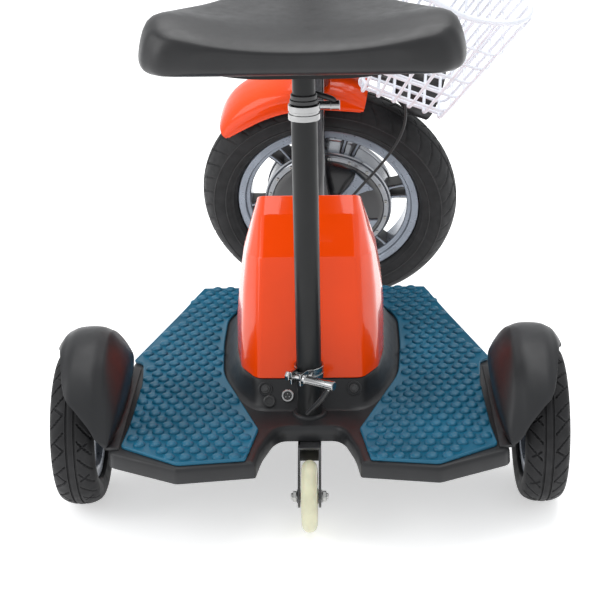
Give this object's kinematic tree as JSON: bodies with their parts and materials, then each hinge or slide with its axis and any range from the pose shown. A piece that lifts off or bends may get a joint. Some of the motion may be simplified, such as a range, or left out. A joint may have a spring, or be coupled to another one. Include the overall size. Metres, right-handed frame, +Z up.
{
  "type": "three-wheeled electric seat scooter",
  "caption": "Folding three-wheeled personal scooter with a seat post, footboard, motor front wheel, wire basket and small rear caster, steering turned to the right.",
  "frame": {"origin": "on the ground under the middle of the bounding box at rest", "axes": "+Y is the way the scooter drives, +X its right side, +Z up"},
  "size_m": [0.6528, 0.9036, 1.1529],
  "materials": {
    "black_steel": "gloss",
    "deck_plastic": "fine grain",
    "mat_rubber": "satin, domed studs",
    "cover_orange": "gloss",
    "battery_case": "matt",
    "controller_case": "extruded fins",
    "steel_hardware": "zinc plated",
    "chrome_parts": "bright",
    "tyre": "matt",
    "cast_alloy": "painted silver",
    "caster_tread": "polyurethane",
    "black_plastic": "matt",
    "saddle_vinyl": "smooth vinyl",
    "grip_rubber": "ribbed",
    "cable_sheath": "satin",
    "lens": "clear",
    "basket_wire": "white coated wire"
  },
  "bodies": {
    "chassis": {"frame": "black_steel", "deck": "deck_plastic", "mat_left": "mat_rubber", "mat_right": "mat_rubber", "fender_left": "deck_plastic", "fender_right": "deck_plastic", "battery_cover": "cover_orange", "battery_rear": "battery_case", "battery_front": "battery_case", "controller": "controller_case", "charge_socket": "chrome_parts", "breaker_cap": "black_plastic", "panel_screw_left": "black_plastic", "panel_screw_right": "black_plastic", "axle_bolt_left": "steel_hardware", "axle_bolt_right": "steel_hardware", "caster_bracket": "black_steel", "caster_bolt": "steel_hardware", "post_tube": "black_steel", "post_bush": "black_plastic", "lower_clamp": "chrome_parts", "lower_clamp_bolt": "chrome_parts", "upper_clamp": "chrome_parts", "upper_clamp_bolt": "chrome_parts", "headset_lower": "steel_hardware"},
    "rear_wheel_left": {"tyre_rear_left": "tyre", "rim_rear_left": "cast_alloy"},
    "rear_wheel_right": {"tyre_rear_right": "tyre", "rim_rear_right": "cast_alloy"},
    "caster": {"caster_wheel": "caster_tread"},
    "saddle_post": {"seat_tube": "black_steel", "saddle_base": "black_steel", "saddle": "saddle_vinyl"},
    "lower_lever": {"lower_clamp_lever": "chrome_parts"},
    "upper_lever": {"upper_clamp_lever": "black_plastic"},
    "steering": {"fork": "black_steel", "headset_upper": "steel_hardware", "front_axle": "steel_hardware", "fender_front": "cover_orange", "stem_foot": "black_steel", "motor_cable": "cable_sheath", "headlight": "black_plastic", "headlight_lens": "lens", "basket": "basket_wire", "basket_bracket": "black_steel"},
    "front_wheel": {"tyre_front": "tyre", "wheel_front": "cast_alloy", "hub_cover": "black_steel"},
    "stem": {"stem": "black_steel", "handlebar": "chrome_parts", "grip_left": "grip_rubber", "brake_perch": "black_plastic", "console": "black_plastic", "brake_cable": "cable_sheath"},
    "latch": {"stem_latch": "chrome_parts"},
    "throttle": {"throttle_grip": "grip_rubber"},
    "brake": {"brake_lever": "cast_alloy"},
    "key": {"key_switch": "steel_hardware"},
    "horn": {"horn_button": "cover_orange"}
  },
  "joints": [
    {"name": "steering_turn", "type": "hinge", "parent": "chassis", "child": "steering", "pos_m": [-0.0014, 0.35215, 0.19736], "axis": [0, -0.3486, 0.9373], "range_deg": [-5.2, 194.8]},
    {"name": "front_wheel_spin", "type": "hinge", "parent": "steering", "child": "front_wheel", "pos_m": [0.02152, 0.35035, 0.19669], "axis": [-0.0837, -0.934, -0.3473], "continuous": true},
    {"name": "rear_wheel_left_spin", "type": "hinge", "parent": "chassis", "child": "rear_wheel_left", "pos_m": [-0.2914, -0.28585, 0.10006], "axis": [1, 0, 0], "continuous": true},
    {"name": "rear_wheel_right_spin", "type": "hinge", "parent": "chassis", "child": "rear_wheel_right", "pos_m": [0.2886, -0.28585, 0.10006], "axis": [1, 0, 0], "continuous": true},
    {"name": "caster_spin", "type": "hinge", "parent": "chassis", "child": "caster", "pos_m": [-0.0014, -0.39185, 0.05406], "axis": [1, 0, 0], "continuous": true},
    {"name": "seat_height", "type": "slide", "parent": "chassis", "child": "saddle_post", "axis": [0, 0, 1], "range_m": [-0.02, 0.12]},
    {"name": "lower_lever_open", "type": "hinge", "parent": "chassis", "child": "lower_lever", "pos_m": [0.02494, -0.35223, 0.18406], "axis": [0.5, 0.866, 0], "range_deg": [-110, 0]},
    {"name": "upper_lever_open", "type": "hinge", "parent": "chassis", "child": "upper_lever", "pos_m": [0.0346, -0.27885, 0.51306], "axis": [0, -1, 0], "range_deg": [-110, 0]},
    {"name": "stem_fold", "type": "hinge", "parent": "steering", "child": "stem", "pos_m": [-0.0014, 0.1925, 0.62663], "axis": [-0.0837, -0.934, -0.3473], "range_deg": [0, 90]},
    {"name": "stem_latch_open", "type": "hinge", "parent": "steering", "child": "latch", "pos_m": [0.02302, 0.19999, 0.60061], "axis": [-0.0837, -0.934, -0.3473], "range_deg": [-60, 0]},
    {"name": "throttle_twist", "type": "hinge", "parent": "stem", "child": "throttle", "pos_m": [-0.0843, -0.23373, 0.92902], "axis": [-0.363, -0.8873, -0.2846], "range_deg": [0, 60], "stiffness_Nm_per_rad": 0.3, "springref_deg": -17.19},
    {"name": "brake_squeeze", "type": "hinge", "parent": "stem", "child": "brake", "pos_m": [0.01795, 0.21269, 1.08941], "axis": [0, -0.3486, 0.9373], "range_deg": [0, 10], "stiffness_Nm_per_rad": 2, "springref_deg": -11.46},
    {"name": "key_turn", "type": "hinge", "parent": "stem", "child": "key", "pos_m": [-0.00382, 0.01274, 1.02709], "axis": [0, -0.3486, 0.9373], "range_deg": [0, 90]},
    {"name": "horn_press", "type": "slide", "parent": "stem", "child": "horn", "axis": [0, 0.3486, -0.9373], "range_m": [0, 0.003], "stiffness_N_per_m": 600, "springref_m": -0.002}
  ]
}
